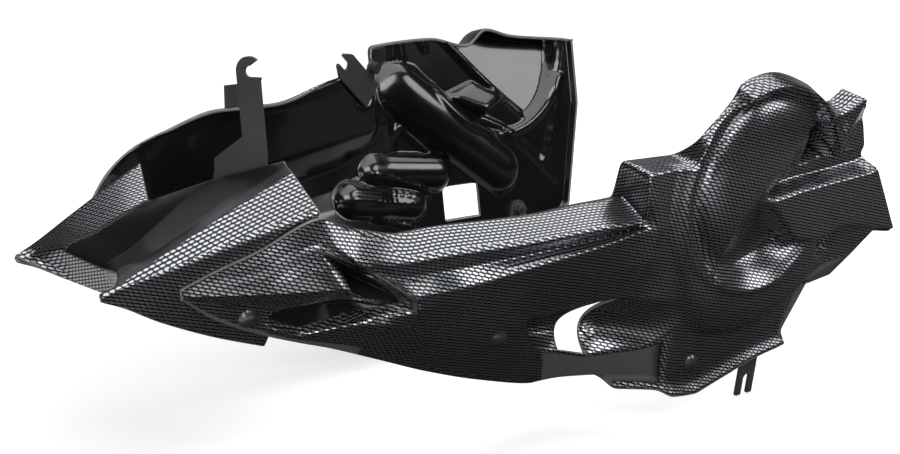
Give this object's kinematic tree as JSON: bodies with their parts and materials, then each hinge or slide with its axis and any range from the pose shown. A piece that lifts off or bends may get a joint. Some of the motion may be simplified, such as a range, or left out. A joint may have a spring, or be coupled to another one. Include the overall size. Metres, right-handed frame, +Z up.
{
  "type": "motorcycle belly pan",
  "caption": "Belly pan of a motorcycle: a forked nose and two moulded side panels with carbon-look faces, round cover bulge, hook stay and forked steel stays.",
  "frame": {"origin": "centre of the box around the whole part", "axes": "+X towards the bike's rear, +Y towards the bike's right side, +Z up, with the bike upright"},
  "size_m": [0.7, 0.4471, 0.3069],
  "materials": {
    "carbon_film": "semi-gloss black plastic with a woven carbon-look film on the outer faces",
    "stay_steel": "satin dark grey powder coat",
    "black_screws": "satin black coated",
    "dark_nuts": "dark zinc",
    "rubber": "matte"
  },
  "bodies": {
    "root": {"nose_panel": "carbon_film", "left_side_panel": "carbon_film", "right_side_panel": "carbon_film", "front_hook_bracket": "stay_steel", "right_fork_bracket": "stay_steel", "left_rear_bracket": "stay_steel", "right_rear_bracket": "stay_steel", "right_fork_bush": "rubber", "middle_well_nuts": "rubber", "hook_bolts": "black_screws", "right_fork_screw": "black_screws", "left_front_screw": "black_screws", "right_front_screw": "black_screws", "middle_screws": "black_screws", "left_rear_screw": "black_screws", "right_rear_screw": "black_screws", "hook_washers": "dark_nuts", "hook_nuts": "dark_nuts", "front_washers": "dark_nuts", "front_nuts": "dark_nuts", "rear_washers": "dark_nuts", "rear_nuts": "dark_nuts"}
  },
  "joints": []
}
